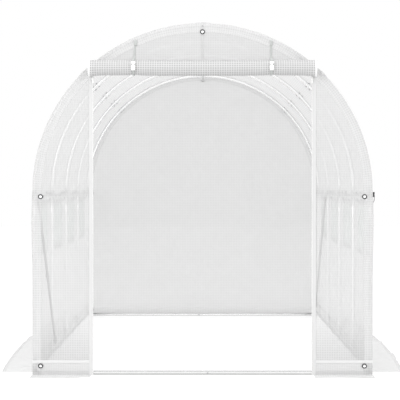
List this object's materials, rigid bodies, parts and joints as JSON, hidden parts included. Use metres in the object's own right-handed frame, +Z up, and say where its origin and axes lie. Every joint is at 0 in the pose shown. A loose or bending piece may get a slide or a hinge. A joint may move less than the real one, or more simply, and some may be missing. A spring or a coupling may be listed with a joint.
{
  "type": "polytunnel greenhouse",
  "caption": "Walk-in tunnel greenhouse: white tube hoops under a translucent fabric cover, with a rolled-up door, side windows and ground skirts.",
  "frame": {"origin": "on the ground, in the middle of the footprint", "axes": "+X to the right seen from the door end, +Y from the door end to the closed end, +Z up"},
  "size_m": [2.5352, 4.3096, 2.0648],
  "materials": {
    "frame_tube": "white powder coat, satin",
    "clamp": "white coated steel, satin",
    "end_cap": "moulded black plastic",
    "cover_fabric": "translucent white film with a square grid of woven threads",
    "window_mesh": "fine white insect mesh",
    "zip_tape": "white woven zip tape",
    "toggle": "moulded black plastic",
    "strap": "grey woven webbing",
    "buckle": "moulded white plastic"
  },
  "bodies": {
    "root": {"hoop_legs_left": "frame_tube", "hoop_legs_right": "frame_tube", "hoop_shoulders_left": "frame_tube", "hoop_shoulders_right": "frame_tube", "hoop_crowns": "frame_tube", "ridge_tube": "frame_tube", "side_tube_left": "frame_tube", "side_tube_right": "frame_tube", "base_rail_left": "frame_tube", "base_rail_right": "frame_tube", "base_rail_front": "frame_tube", "base_rail_back": "frame_tube", "brace_left": "frame_tube", "brace_right": "frame_tube", "cross_clamps": "clamp", "tube_end_caps": "end_cap", "roof_cover": "cover_fabric", "side_wall_left": "cover_fabric", "side_wall_right": "cover_fabric", "window_screens_left": "window_mesh", "window_screens_right": "window_mesh", "window_flaps_left": "cover_fabric", "window_flaps_right": "cover_fabric", "window_toggles_left": "toggle", "window_toggles_right": "toggle", "front_panel_left": "cover_fabric", "front_panel_right": "cover_fabric", "front_panel_top": "cover_fabric", "rear_wall": "cover_fabric", "door_roll": "cover_fabric", "door_zip_left": "zip_tape", "door_zip_right": "zip_tape", "door_straps": "strap", "strap_buckles": "buckle", "skirt_left": "cover_fabric", "skirt_right": "cover_fabric", "skirt_front": "cover_fabric", "skirt_back": "cover_fabric"}
  },
  "joints": []
}
